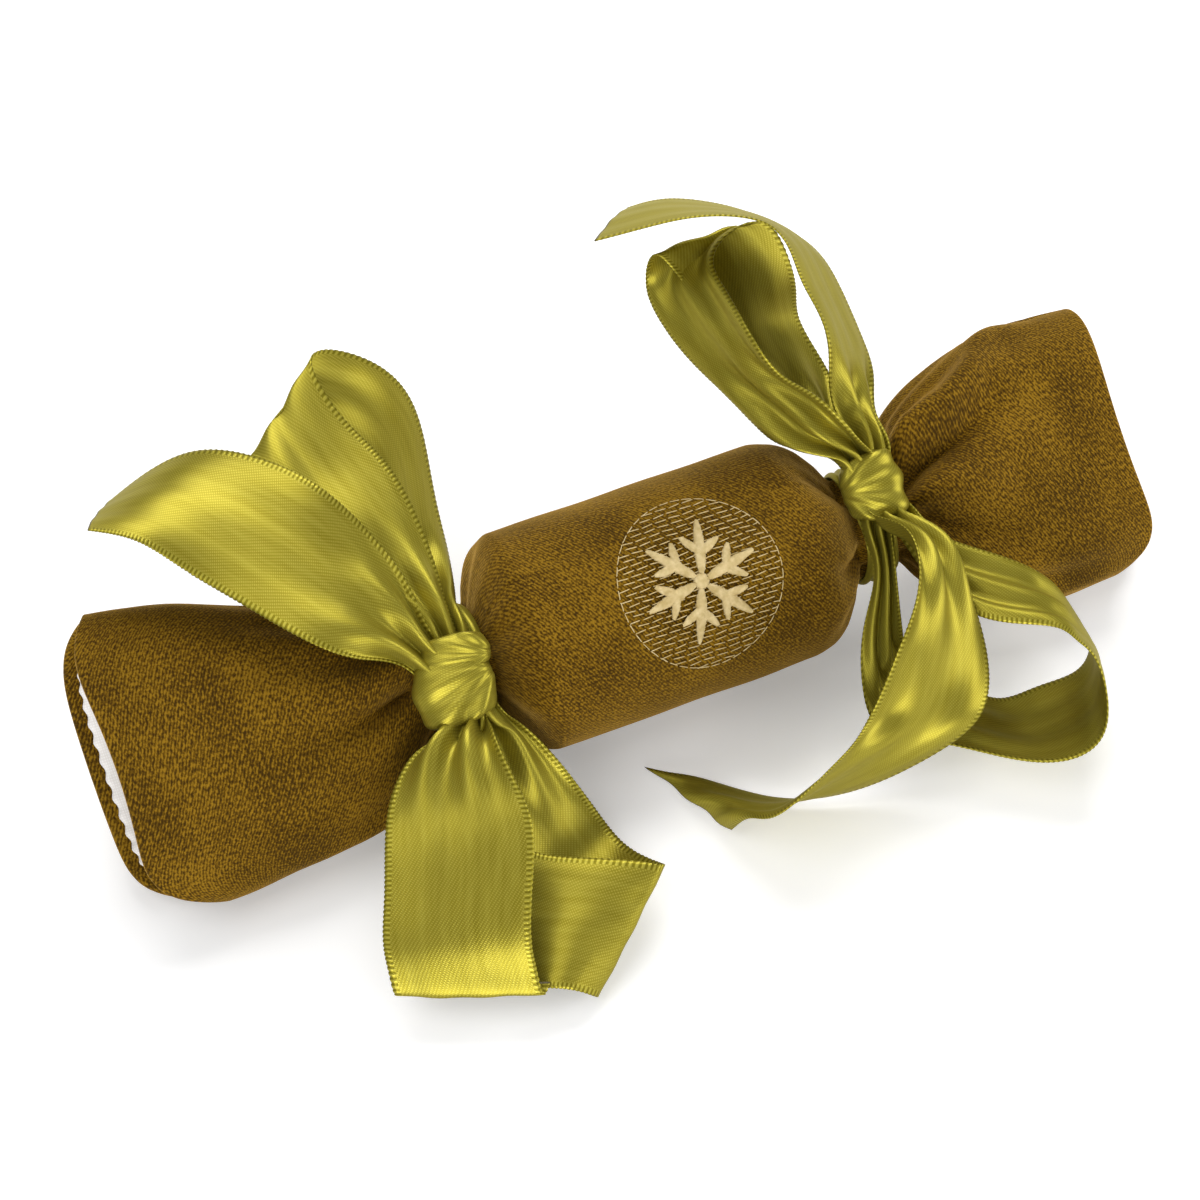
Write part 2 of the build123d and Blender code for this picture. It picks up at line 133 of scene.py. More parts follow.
# Ends: distance from the neck, growth over the neck along and across the flat, gather depth,
# drift up the flat
END_PROFILE = {
    "left": (
        (0, 0, 0, 0.45, 0), (4.5, 0, 0, 0.5, 0), (8, 2.4, 0.8, 1.2, -0.5), (13, 7.2, 1.7, 1.4, -1.5),
        (20, 10.9, 2.5, 1.2, -3.0), (32, 14.6, 3.1, 0.6, -2.0), (48, 17.6, 3.1, 0.2, 0.5),
        (65, 19.0, 2.6, 0, 1.5),
    ),
    "right": (
        (0, 0, 0, 0.45, 0), (4.5, 0, 0, 0.5, 0), (7.5, 4.0, 1.2, 1.3, 0.5), (11, 8.6, 2.2, 1.5, 0.5),
        (20, 13.6, 3.2, 1.2, 0.5), (32, 17.0, 3.4, 0.7, 0.5), (44, 17.5, 3.2, 0.3, 0.5),
        (53, 17.0, 2.8, 0, 0.5),
    ),
}
# How far the rim is drawn back at the top, front, bottom and back of the flat
RIM_DROP = {"left": (6.0, 2.7, 14.0, -0.8), "right": (1.7, 4.2, 10.0, 0.0)}
# Barrel: distance inward from the neck, radius, gather depth
SHOULDER = {
    "left": (
        (0, NECK_R, 0.7), (4.5, 8.55, 0.9), (6.4, 12.5, 1.1), (8.6, 16.7, 0.9), (11.0, 19.6, 0.3),
        (13, BARREL_R, 0),
    ),
    "right": (
        (0, NECK_R, 0.7), (4.5, 8.55, 0.9), (7.4, 12.5, 1.1), (10.7, 16.7, 0.9), (14.4, 19.6, 0.3),
        (17.5, BARREL_R, 0),
    ),
}


# Numbers

ANY_PHASE = 6.3    # top of the range of a random phase, in radians


def linear(r, g, b):
    """A colour written as 0 to 255 in sRGB, as the linear values that the shaders take."""
    values = [v / 255 for v in (r, g, b)]
    return tuple(v / 12.92 if v <= 0.04045 else ((v + 0.055) / 1.055) ** 2.4 for v in values) + (1.0,)


def spline(knots, values, at):
    """Natural cubic spline through rows of values."""
    knots = np.asarray(knots, float)
    values = np.asarray(values, float)
    count = len(knots)
    gaps = np.diff(knots)
    system = np.eye(count)
    bends = np.zeros_like(values)
    for k in range(1, count - 1):
        system[k, k - 1:k + 2] = gaps[k - 1], 2 * (gaps[k - 1] + gaps[k]), gaps[k]
        slope = (values[k + 1] - values[k]) / gaps[k]
        bends[k] = 6 * (slope - (values[k] - values[k - 1]) / gaps[k - 1])
    bends = np.linalg.solve(system, bends)
    k = np.clip(np.searchsorted(knots, at) - 1, 0, count - 2)
    gap = gaps[k][:, None]
    past = (at - knots[k])[:, None]
    left = gap - past
    curve = (bends[k] * left ** 3 + bends[k + 1] * past ** 3) / (6 * gap)
    from_left = (values[k] / gap - bends[k] * gap / 6) * left
    from_right = (values[k + 1] / gap - bends[k + 1] * gap / 6) * past
    return curve + from_left + from_right


def eased(knots, values, at):
    """Smooth curve through points that never overshoots them."""
    knots = np.asarray(knots, float)
    values = np.asarray(values, float)
    gaps = np.diff(knots)
    rises = np.diff(values) / gaps
    slopes = np.zeros(len(knots))
    slopes[0], slopes[-1] = rises[0], rises[-1]
    for k in range(1, len(knots) - 1):
        if rises[k - 1] * rises[k] > 0:
            slopes[k] = 2 * rises[k - 1] * rises[k] / (rises[k - 1] + rises[k])
    at = np.asarray(at, float)
    k = np.clip(np.searchsorted(knots, at) - 1, 0, len(knots) - 2)
    t = (at - knots[k]) / gaps[k]
    return (
        values[k] * (1 + 2 * t) * (1 - t) ** 2 + gaps[k] * slopes[k] * t * (1 - t) ** 2
        + values[k + 1] * t ** 2 * (3 - 2 * t) + gaps[k] * slopes[k + 1] * t ** 2 * (t - 1)
    )


def normalized(vectors):
    return vectors / np.maximum(np.linalg.norm(vectors, axis=-1, keepdims=True), 1e-9)


def bell(x):
    return np.exp(-x * x)


def waves(a, b, seed, count, reach):
    """Smooth wandering values over two coordinates, mostly between -1 and 1."""
    draw = np.random.default_rng(seed)
    total = np.zeros(np.broadcast(a, b).shape)
    for _ in range(count):
        turn = draw.uniform(0, 2 * math.pi)
        pitch = reach * draw.uniform(0.7, 1.6)
        phase = draw.uniform(0, ANY_PHASE)
        total += np.sin((a * math.cos(turn) + b * math.sin(turn)) * 2 * math.pi / pitch + phase)
    return total / count ** 0.5


# Meshes

THREAD_TIP = 0.6    # share of a thread's radius that is left at its ends


def place_mesh(name, mesh, material, body):
    """A smooth piece that shows the mesh and rides on the body."""
    mesh.polygons.foreach_set("use_smooth", np.ones(len(mesh.polygons), bool))
    mesh.materials.append(material)
    piece = bpy.data.objects.new(name, mesh)
    bpy.context.scene.collection.objects.link(piece)
    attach(piece, body)
    return piece


def grid_object(name, points, uv, material, body, closed=False):
    """A mesh from rows and columns of points in mm. A closed grid joins its last column to its first."""
    rows, cols = points.shape[:2]
    spans = cols if closed else cols - 1
    r, c = np.meshgrid(np.arange(rows - 1), np.arange(spans), indexing="ij")
    corners = [(r, c), (r, c + 1), (r + 1, c + 1), (r + 1, c)]
    faces = np.stack([row * cols + col % cols for row, col in corners], -1).reshape(-1, 4)
    mesh = bpy.data.meshes.new(name)
    mesh.from_pydata((points.reshape(-1, 3) * MM).tolist(), [], faces.tolist())
    layer = mesh.uv_layers.new(name="cloth")
    spots = np.stack([uv[row, col] for row, col in corners], 2).reshape(-1, 2)
    layer.data.foreach_set("uv", spots.astype(np.float32).ravel())
    return place_mesh(name, mesh, material, body)


def thicken(piece, thickness, offset=0.0):
    solid = piece.modifiers.new("thickness", "SOLIDIFY")
    solid.thickness = thickness * MM
    solid.offset = offset
    solid.use_even_offset = False


def tubes_object(name, paths, radius, sides, material, body):
    """Many short threads as one mesh. Each path has its points and the way out of the cloth at each."""
    vertices, faces = [], []
    turn = np.arange(sides) * 2 * math.pi / sides
    for path, lifts in paths:
        along = normalized(np.gradient(path, axis=0))
        beside = normalized(np.cross(along, lifts))
        above = np.cross(beside, along)
        taper = np.full(len(path), radius)
        taper[[0, -1]] *= THREAD_TIP
        rings = path[:, None] + taper[:, None, None] * (
            beside[:, None] * np.cos(turn)[None, :, None] + above[:, None] * np.sin(turn)[None, :, None])
        first = len(vertices)
        vertices.extend((rings.reshape(-1, 3) * MM).tolist())
        for k in range(len(path) - 1):
            for s in range(sides):
                t = (s + 1) % sides
                low, high = first + k * sides, first + (k + 1) * sides
                faces.append((low + s, low + t, high + t, high + s))
        faces.append(tuple(first + s for s in reversed(range(sides))))
        faces.append(tuple(first + (len(path) - 1) * sides + s for s in range(sides)))
    mesh = bpy.data.meshes.new(name)
    mesh.from_pydata(vertices, [], faces)
    return place_mesh(name, mesh, material, body)


# Materials

STRIPE_UNIT = 0.314    # pitch of the wave texture's stripes at a scale of 1


def add(tree, kind, inputs=(), **settings):
    """A shader node with its settings and its input values or links."""
    made = tree.nodes.new(kind)
    for key, value in settings.items():
        setattr(made, key, value)
    for key, value in dict(inputs).items():
        if isinstance(value, bpy.types.NodeSocket):
            tree.links.new(value, made.inputs[key])
        else:
            made.inputs[key].default_value = value
    return made


def start_material(name, **inputs):
    material = bpy.data.materials.new(name)
    material.use_nodes = True
    tree = material.node_tree
    shader = tree.nodes["Principled BSDF"]
    for key, value in inputs.items():
        shader.inputs[key.replace("_", " ")].default_value = value
    return material, tree, shader


def cloth_place(tree, turn=0.0, scale=(1, 1, 1)):
    """Cloth coordinates in mm, turned and scaled."""
    uv = add(tree, "ShaderNodeUVMap", uv_map="cloth")
    mapping = add(tree, "ShaderNodeMapping", {
        "Vector": uv.outputs["UV"], "Rotation": (0, 0, math.radians(turn)), "Scale": scale})
    return mapping.outputs["Vector"]


def bands(tree, place, pitch, distortion=0.0, detail=0.0):
    """Stripes of that pitch across the place's first direction."""
    return add(tree, "ShaderNodeTexWave", {
        "Vector": place, "Scale": STRIPE_UNIT / pitch, "Distortion": distortion, "Detail": detail,
        "Detail Scale": 2.0}, wave_type="BANDS", bands_direction="X").outputs["Fac"]


def noise(tree, place, pitch, detail=2.0):
    return add(tree, "ShaderNodeTexNoise", {
        "Vector": place, "Scale": 1 / pitch, "Detail": detail, "Roughness": 0.55}).outputs["Fac"]


def sums(tree, kind, a, b):
    return add(tree, "ShaderNodeMath", {0: a, 1: b}, operation=kind).outputs[0]


def weighted(tree, *terms):
    """The sum of values, each times its share."""
    scaled = [sums(tree, "MULTIPLY", value, share) for value, share in terms]
    total = scaled[0]
    for term in scaled[1:]:
        total = sums(tree, "ADD", total, term)
    return total


def ramp(tree, factor, stops):
    made = add(tree, "ShaderNodeValToRGB", {"Fac": factor})
    elements = made.color_ramp.elements
    while len(elements) < len(stops):
        elements.new(0.5)
    for element, (place, colour) in zip(elements, stops):
        element.position = place
        element.color = colour
    return made.outputs["Color"]


def set_bump(tree, shader, height, strength, depth):
    made = add(tree, "ShaderNodeBump", {"Height": height, "Strength": strength, "Distance": depth * MM})
    tree.links.new(made.outputs["Normal"], shader.inputs["Normal"])


def velvet_material():
    """Short-pile velvet with fine slanting rows, a speckled pile and painted sheen: broad lighter and
    darker patches where the pile lies over.
    """
    material, tree, shader = start_material(
        "velvet", Roughness=0.88, Sheen_Weight=0.8, Sheen_Roughness=0.4, Sheen_Tint=linear(236, 190, 96),
        Specular_IOR_Level=0.1)
    plain = cloth_place(tree)
    rows = bands(tree, cloth_place(tree, turn=32), pitch=0.55, distortion=4.0, detail=3.0)
    pile = noise(tree, plain, pitch=0.6, detail=3.0)
    # Broad patches in the colour only: painted sheen, lighter and darker where the pile lies over
    nap_sheen = noise(tree, plain, pitch=16.0, detail=3.0)
    mix = weighted(tree, (rows, 0.12), (pile, 0.64), (nap_sheen, 0.24))
    colour = ramp(tree, mix, (
        (0.4, linear(54, 36, 1)), (0.5, linear(92, 65, 4)), (0.6, linear(136, 102, 20))))
    tree.links.new(colour, shader.inputs["Base Color"])
    height = sums(tree, "ADD", sums(tree, "MULTIPLY", rows, 0.25), pile)
    set_bump(tree, shader, height, strength=0.55, depth=0.25)
    return material


def satin_material():
    """Satin ribbon: a fine twill of floats along the length, and a firm selvedge at both sides."""
    material, tree, shader = start_material(
        "satin", Metallic=0.55, Roughness=0.36, Anisotropic=0.5, Specular_IOR_Level=0.25,
        Specular_Tint=linear(214, 204, 110))
    plain = cloth_place(tree)
    twill = bands(tree, cloth_place(tree, turn=58), pitch=0.36, distortion=0.25)
    cross = bands(tree, cloth_place(tree, turn=-32), pitch=0.55, distortion=0.25)
    dots = sums(tree, "MULTIPLY", twill, cross)
    slub = noise(tree, cloth_place(tree, scale=(1, 0.12, 1)), pitch=1.4)
    mix = weighted(tree, (dots, 0.45), (slub, 0.4))
    colour = ramp(tree, mix, (
        (0.1, linear(130, 119, 32)), (0.35, linear(154, 143, 50)), (0.7, linear(178, 167, 70))))
    across = add(tree, "ShaderNodeSeparateXYZ", {"Vector": plain}).outputs["X"]
    reach = sums(tree, "ABSOLUTE", across, 0.0)
    edge = sums(tree, "GREATER_THAN", reach, RIBBON_WIDTH / 2 - SELVEDGE)
    stitch = bands(tree, cloth_place(tree, turn=90), TOOTH_PITCH)
    edge_colour = ramp(tree, stitch, ((0.2, linear(120, 110, 28)), (0.8, linear(168, 157, 60))))
    both = add(tree, "ShaderNodeMix", {"Factor": edge}, data_type="RGBA")
    for socket, value in (("A", colour), ("B", edge_colour)):
        colour_input = [s for s in both.inputs if s.name == socket and s.type == "RGBA"][0]
        tree.links.new(value, colour_input)
    result = [s for s in both.outputs if s.type == "RGBA"][0]
    tree.links.new(result, shader.inputs["Base Color"])
    edge_height = sums(tree, "MULTIPLY", sums(tree, "MULTIPLY", edge, stitch), 2.0)
    set_bump(tree, shader, sums(tree, "ADD", dots, edge_height), strength=0.2, depth=0.08)
    tangent = add(tree, "ShaderNodeTangent", direction_type="UV_MAP", uv_map="cloth")
    tree.links.new(tangent.outputs["Tangent"], shader.inputs["Tangent"])
    return material


def cut_end_material():
    """A darker, mottled colour for the last row of a tail, at its cut end."""
    material, tree, shader = start_material("cut_end_dark", Roughness=0.5)
    place = add(tree, "ShaderNodeTexCoord").outputs["Object"]
    cut_end_mottle = noise(tree, place, pitch=0.0006)
    colour = ramp(tree, cut_end_mottle, ((0.3, linear(58, 48, 14)), (0.7, linear(92, 82, 26))))
    tree.links.new(colour, shader.inputs["Base Color"])
    return material


def cotton_material():
    """Plain white cotton with its weave."""
    material, tree, shader = start_material(
        "cotton", Roughness=0.9, Sheen_Weight=0.1, Specular_IOR_Level=0.2)
    warp = bands(tree, cloth_place(tree), pitch=0.4, distortion=0.6)
    weft = bands(tree, cloth_place(tree, turn=90), pitch=0.4, distortion=0.6)
    weave = sums(tree, "MULTIPLY", warp, weft)
    wear = noise(tree, cloth_place(tree), pitch=6)
    mix = weighted(tree, (weave, 0.4), (wear, 0.6))
    colour = ramp(tree, mix, ((0.2, linear(226, 221, 216)), (0.7, linear(248, 246, 243))))
    tree.links.new(colour, shader.inputs["Base Color"])
    set_bump(tree, shader, weave, strength=0.3, depth=0.1)
    return material


def thread_material():
    """Lustrous embroidery thread."""
    material, tree, shader = start_material("thread", Roughness=0.5, Specular_IOR_Level=0.4)
    place = add(tree, "ShaderNodeTexCoord").outputs["Object"]
    shades = noise(tree, place, pitch=0.0012)
    colour = ramp(tree, shades, ((0.3, linear(186, 162, 104)), (0.7, linear(216, 196, 146))))
    tree.links.new(colour, shader.inputs["Base Color"])
    set_bump(tree, shader, noise(tree, place, pitch=0.0002), strength=0.25, depth=0.05)
    return material


def pulp_material(name, dark, light, roughness):
    """Card or paper with its fibres."""
    material, tree, shader = start_material(name, Roughness=roughness, Specular_IOR_Level=0.3)
    place = add(tree, "ShaderNodeTexCoord").outputs["Object"]
    fibres = noise(tree, place, pitch=0.0009, detail=5.0)
    colour = ramp(tree, fibres, ((0.3, dark), (0.7, light)))
    tree.links.new(colour, shader.inputs["Base Color"])
    set_bump(tree, shader, fibres, strength=0.25, depth=0.06)
    return material


def wood_material():
    """Turned beech with rings along the top's axis."""
    material, tree, shader = start_material("wood", Roughness=0.45, Specular_IOR_Level=0.4)
    place = add(tree, "ShaderNodeTexCoord").outputs["Object"]
    grain = add(tree, "ShaderNodeTexWave", {
        "Vector": place, "Scale": 260, "Distortion": 5, "Detail": 3, "Detail Scale": 1.5},
        wave_type="BANDS", bands_direction="Z").outputs["Fac"]
    colour = ramp(tree, grain, ((0.2, linear(168, 122, 76)), (0.8, linear(206, 166, 116))))
    tree.links.new(colour, shader.inputs["Base Color"])
    set_bump(tree, shader, grain, strength=0.12, depth=0.05)
    return material


# Velvet and lining

GATHER_COUNTS = (5, 7, 9, 12)    # gathers round a neck, in four sets that are added up
GATHER_SUM = 2.2    # what their sum is divided by, to come to about the depth asked for
GATHER_SWAY = 0.25    # radians that a gather wanders on its way out
GATHER_BEND = 0.11    # radians of that wandering's wave to a mm of the way
END_SEEDS = {"left": (3, 21), "right": (8, 22)}    # for the gathers and the slack of each end
END_GATHER = 0.9    # share of the profile's gather depth that an end shows
END_SLACK = 0.35    # mm that an end's cloth wanders
END_SLACK_START = 10    # mm from the neck where that sets in
END_SLACK_RUN = 20    # mm in which it comes up
SLEEVE_R = 18    # radius in mm that stands for an end's girth in its slack
END_START = 1.5    # mm from the neck where the velvet and cotton of an end begin
END_COLUMNS = 260
END_ROWS = 150
END_SHELL = 0.4    # thickness in mm of the velvet of an end, which is turned in at the mouth
RIM_STEP = 0.3    # mm of cloth between rows round the rim
HEM_STEP = 0.6    # mm of cloth between rows of the hem inside
LINING_LAP = 1.6    # mm behind the rim where the cotton starts
LINING_ROWS = 70
OVERLOCK_DEPTH = 0.25    # mm that the cotton's overlocked edge waves
OVERLOCK_WAVES = 46
VELVET_GIRTH = 130    # mm round a sleeve in cloth coordinates
COTTON_GIRTH = 125
BARREL_SEEDS = {"left": 5, "right": 6, "slack": 31}
BARREL_GATHER = 0.8
BARREL_SLACK = 0.14
BARREL_START = 0.8    # mm inward from a neck where the barrel's cloth begins
BARREL_COLUMNS = 300
BARREL_ROWS = 190
TABLE_GAP = 0.05    # least height in mm of the barrel's velvet over the table


def gathers(angle, away, depth, seed):
    """Uneven gathers that run out from a neck."""
    draw = np.random.default_rng(seed)
    total = np.zeros(np.broadcast(angle, away).shape)
    for count in GATHER_COUNTS:
        phase = draw.uniform(0, ANY_PHASE)
        sway = GATHER_SWAY * np.sin(away * GATHER_BEND + draw.uniform(0, ANY_PHASE))
        total += np.cos(count * angle + phase + sway)
    return depth * total / GATHER_SUM


def fold(angle, away, path, width, height):
    """A ridge, or a valley where the height is negative. Its path has distances, degrees and shares."""
    distance, turn, share = (np.array(v, float) for v in zip(*path))
    middle = np.radians(np.interp(away, distance, turn))
    strength = np.interp(away, distance, share, left=0, right=0)
    apart = (angle - middle + math.pi) % (2 * math.pi) - math.pi
    return height * strength * bell(apart / math.radians(width))


# Folds of each end: path, width in degrees, height in mm
FOLDS = {
    "left": [
        ([(9, 97, 0), (11, 96, 0.9), (14, 94, 1), (17, 93, 0.7), (22, 93, 0.35), (28, 93, 0)], 6, -3.2),
        ([(10, 82, 0), (14, 83, 0.8), (24, 86, 0.5), (34, 88, 0)], 8, 1.0),
    ],
    "right": [
        ([(5, 30, 0.6), (8, 42, 1), (12, 50, 1), (19, 52, 1), (27, 38, 0.8), (36, 12, 0.4), (44, 5, 0)],
         14, 3.2),
        ([(4.5, 82, 0.8), (8, 76, 1), (12, 69, 1), (18.5, 64, 0.9), (25, 58, 0.5), (32, 52, 0)],
         7, -3.0),
        ([(6, 87, 0.6), (9, 88, 1), (15, 88, 1), (21, 91, 0.7), (28, 94, 0)], 10, 2.2),
        ([(6, 98, 0.5), (9.5, 104, 1), (12, 112, 0.9), (18.5, 116, 0.5), (26, 118, 0)], 8, -2.2),
    ],
}


def end_points(side, away, angle, inset):
    """Points of an end's surface, in mm: distances from the neck by angles round the flattened sleeve."""
    profile = np.array(END_PROFILE[side], float)
    away, angle = np.meshgrid(away, angle, indexing="ij")
    values = [eased(profile[:, 0], profile[:, k], away) for k in range(1, 5)]
    grow_long, grow_short, pleat, drift = values
    gather_seed, slack_seed = END_SEEDS[side]
    rise = -inset + np.zeros_like(away)
    rise += gathers(angle, away, pleat * END_GATHER, gather_seed)
    for path, width, height in FOLDS[side]:
        rise += fold(angle, away, path, width, height)
    loose = np.clip((away - END_SLACK_START) / END_SLACK_RUN, 0, 1)
    rise += END_SLACK * waves(away, angle * SLEEVE_R, slack_seed, count=6, reach=26) * loose
    # The rim's corners are drawn back, and the cloth behind them less and less
    reach = profile[-1, 0]
    top, front, bottom, back = RIM_DROP[side]
    up, near = np.cos(angle), np.sin(angle)
    drop = np.where(up > 0, top * up ** 6, bottom * up ** 8)
    drop = drop + np.where(near > 0, front, back) * near ** 2
    drop = drop * (away / reach) ** 3
    x = NECK_X[side] + OUTWARD[side] * (away - drop)
    long_reach = (NECK_R + grow_long + rise) * np.cos(angle) + drift
    short_reach = (NECK_R + grow_short + rise) * np.sin(angle)
    middle = np.stack([x, 0 * x, 0 * x + AXIS_Z], -1)
    return middle + long_reach[..., None] * LONG_WAY + short_reach[..., None] * SHORT_WAY


def round_angles(count):
    return np.arange(count) * 2 * math.pi / count


def cloth_uv(away, count, girth):
    """Cloth coordinates in mm, with one more column than the mesh for the join."""
    turn = np.linspace(0, girth, count + 1)
    return np.stack(np.meshgrid(away, turn, indexing="ij"), -1)


def make_end(side, velvet, cotton):
    angle = round_angles(END_COLUMNS)
    body = side + "_end"
    reach = END_PROFILE[side][-1][0]
    away = np.linspace(END_START, reach, END_ROWS)
    outside = end_points(side, away, angle, 0)
    # The velvet turns in at the mouth: round the rim, then back along the inside
    round_r = VELVET_WALL / 2
    rim = []
    for t in np.radians((30, 60, 90, 120, 150, 180)):
        place = np.array([reach + round_r * math.sin(t)])
        rim.append(end_points(side, place, angle, round_r * (1 - math.cos(t))))
    hem = (HEM_STEP, 2 * HEM_STEP, 3 * HEM_STEP, 4 * HEM_STEP)
    inside = [end_points(side, np.array([reach - depth]), angle, VELVET_WALL) for depth in hem]
    points = np.concatenate([outside] + rim + inside)
    rim_travel = reach + RIM_STEP * np.arange(1, len(rim) + 1)
    hem_travel = rim_travel[-1] + HEM_STEP * np.arange(1, len(inside) + 1)
    uv = cloth_uv(np.concatenate([away, rim_travel, hem_travel]), END_COLUMNS, VELVET_GIRTH)
    piece = grid_object("cover_" + side + "_end", points, uv, velvet, body, closed=True)
    thicken(piece, END_SHELL)
    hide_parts(f"velvet_{side}_end")
    # The cotton starts under the hem, with a wavy overlocked edge
    back = np.linspace(reach - LINING_LAP, END_START, LINING_ROWS)
    lining = end_points(side, back, angle, LINING_INSET)
    edge = OVERLOCK_DEPTH * np.sin(angle * OVERLOCK_WAVES)
    lining[0, :, 0] += OUTWARD[side] * edge
    lining[0] += SHORT_WAY * edge[:, None]
    uv = cloth_uv(back, END_COLUMNS, COTTON_GIRTH)
    piece = grid_object("cotton_" + side + "_end", lining, uv, cotton, body, closed=True)
    thicken(piece, LINING_WALL)
    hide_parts(f"lining_{side}_end")


def barrel_profile():
    """Places along X with the radius and gather depth there, from neck to neck."""
    left = [(NECK_X["left"] + d, r, p) for d, r, p in SHOULDER["left"]]
    right = [(NECK_X["right"] - d, r, p) for d, r, p in SHOULDER["right"]]
    return np.array(left + right[::-1], float)


# Folds of the barrel's shoulders: path from the neck inward, width in degrees, height in mm
BARREL_FOLDS = {
    "left": [
        ([(5, -20, 0.6), (8, -22, 1), (12, -24, 0.4), (15, -25, 0)], 8, -1.4),
        ([(5, -48, 0.5), (9, -46, 1), (13, -44, 0.4), (17, -44, 0)], 9, -1.0),
    ],
    "right": [
        ([(5, 8, 0.6), (8, 8, 1), (12, 6, 0.5), (16, 5, 0)], 7, -2.2),
        ([(5, -72, 0.6), (8, -66, 1), (12, -54, 0.6), (16, -48, 0)], 7, -1.8),
        ([(5, -20, 0.5), (9, -22, 1), (14, -24, 0.4), (18, -25, 0)], 12, 0.9),
    ],
}


def barrel_points(x, angle, inset):
    profile = barrel_profile()
    x, angle = np.meshgrid(x, angle, indexing="ij")
    r = eased(profile[:, 0], profile[:, 1], x) - inset
    pleat = eased(profile[:, 0], profile[:, 2], x) * BARREL_GATHER
    at_left = gathers(angle, x, pleat, BARREL_SEEDS["left"])
    at_right = gathers(angle, x, pleat, BARREL_SEEDS["right"])
    r = r + np.where(x < 0, at_left, at_right)
    for side, folds in BARREL_FOLDS.items():
        inward = (NECK_X[side] - x) * OUTWARD[side]
        for path, width, height in folds:
            r = r + fold(angle, inward, path, width, height)
    r = r + BARREL_SLACK * waves(x, angle * BARREL_R, BARREL_SEEDS["slack"], count=6, reach=22)
    y = r * np.sin(angle)
    z = np.maximum(AXIS_Z + r * np.cos(angle), inset + TABLE_GAP)
    return np.stack([x, y, z], -1)


def make_barrel(velvet, cotton):
    angle = round_angles(BARREL_COLUMNS)
    x = np.linspace(NECK_X["left"] + BARREL_START, NECK_X["right"] - BARREL_START, BARREL_ROWS)
    points = barrel_points(x, angle, 0)[:, ::-1]
    uv = cloth_uv(x, BARREL_COLUMNS, VELVET_GIRTH)
    piece = grid_object("cover_barrel", points, uv, velvet, "barrel", closed=True)
    thicken(piece, VELVET_WALL, -1.0)
    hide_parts("velvet_barrel")
    lining = barrel_points(x, angle, LINING_INSET)
    uv = cloth_uv(x, BARREL_COLUMNS, COTTON_GIRTH)
    piece = grid_object("cotton_barrel", lining, uv, cotton, "barrel", closed=True)
    thicken(piece, LINING_WALL)
    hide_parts("lining_barrel")


# Ribbons

RIBBON_COLUMNS = 19    # between the selvedges
ROWS_TO_A_TOOTH = 3
PLEATS = 2.4    # waves across a gathered ribbon
PLEAT_SLACK = 1.25    # depth of the pleats against a first estimate from the width drawn in
PLEAT_SOFT = 0.1    # keeps that depth from rising steeply where the gather sets in
PLEAT_LEFT = 0.4    # share of the depth that is left far from the knot
PLEAT_REACH = 26    # mm from the knot in which the rest dies away
PLEAT_DRIFT = 0.02    # radians that the pleats wander to a mm of length
FINE_PLEATS = 3.1    # waves of the fine pleats across it
FINE_PLEAT_DEPTH = 0.2
RIPPLE = 0.22    # mm of slack in the cloth
RIPPLE_SEED = 50    # added to a ribbon's seed for its slack
CROWN = 0.3    # mm between a ribbon's middle and its edges
CROWN_REACH = 20    # mm from the knot in which the crown comes up
LEAST_HEIGHT = 0.2    # mm from the table to the middle of the cloth
TUCK = 0.45    # share of a root's distance from the middle of the knot that is left inside it
TURN_COLUMNS = 160    # of a wrap or band, round it
TURN_ROWS = 41    # of a wrap or band, across it
WRAP_SQUARE = 0.8    # power that makes the round of a wrap a little square
WRAP_CROWN = 0.1    # share that a wrap draws in towards its edges
WRAP_LIP = 0.22    # share more that it draws in at the edges themselves
WRAP_CLOTH = 8    # half width of a wrap in cloth coordinates, clear of the selvedges
CREASES = 13    # creases of a knot to a whole turn round their corner
CREASE_DEPTH = 0.34
CREASE_SWAY = 0.6    # radians that the creases depart from even spacing
CREASE_REACH = 1.6    # distance from the corner where creases are full, in half sizes of the wrap
PINCH = 0.2    # share of the width that is lost at the corner's side
BAND_LIFT = 0.3    # mm from the band's radius to the middle of its pleats
BAND_PLEAT = 0.32
BAND_PLEATS = 9    # radians of pleats across half of the band
BAND_SWAY = 0.8    # radians that they wander round the neck
BAND_DROOP = 0.3    # mm that the band's edges draw in
BAND_UNEVEN = 0.08    # share of the width that comes and goes round the neck
BAND_CLOTH = 10    # half width of the band in cloth coordinates, clear of the selvedges


def knot_place(side):
    lean = KNOT_LEAN[side]
    x = NECK_X[side] + KNOT_SHIFT[side]
    return np.array([x, -KNOT_HEIGHT * math.sin(lean), AXIS_Z + KNOT_HEIGHT * math.cos(lean)])


def ribbon_columns():
    """Places across a ribbon, from -1 to 1, closer together in the selvedges."""
    band = 1 - 2 * SELVEDGE / RIBBON_WIDTH
    edge = (1 + band) / 2
    return np.concatenate([[-1, -edge], np.linspace(-band, band, RIBBON_COLUMNS), [edge, 1]])


def ribbon_frame(centre, stations):
    """Rows of a ribbon, in mm: its middle line, its half-width vectors and the distance along it."""
    middles, sides = [], []
    for right, up, out, turn, lean, share in stations:
        t, n = math.radians(turn), math.radians(lean)
        middles.append(centre + RIGHT * right + UP * up + OUT * out)
        way = RIGHT * (math.cos(n) * math.cos(t)) + UP * (math.cos(n) * math.sin(t)) + OUT * math.sin(n)
        sides.append(way * (RIBBON_WIDTH * share / 2))
    travel = np.concatenate([[0], np.cumsum(np.linalg.norm(np.diff(middles, axis=0), axis=1))])
    at = np.linspace(0, travel[-1], int(travel[-1] / (TOOTH_PITCH / ROWS_TO_A_TOOTH)) + 1)
    return spline(travel, middles, at), spline(travel, sides, at), at


def tucked(station):
    """A station's copy inside the knot."""
    right, up, out, turn, lean, share = station
    return right * TUCK, up * TUCK, out * TUCK, turn, lean, share


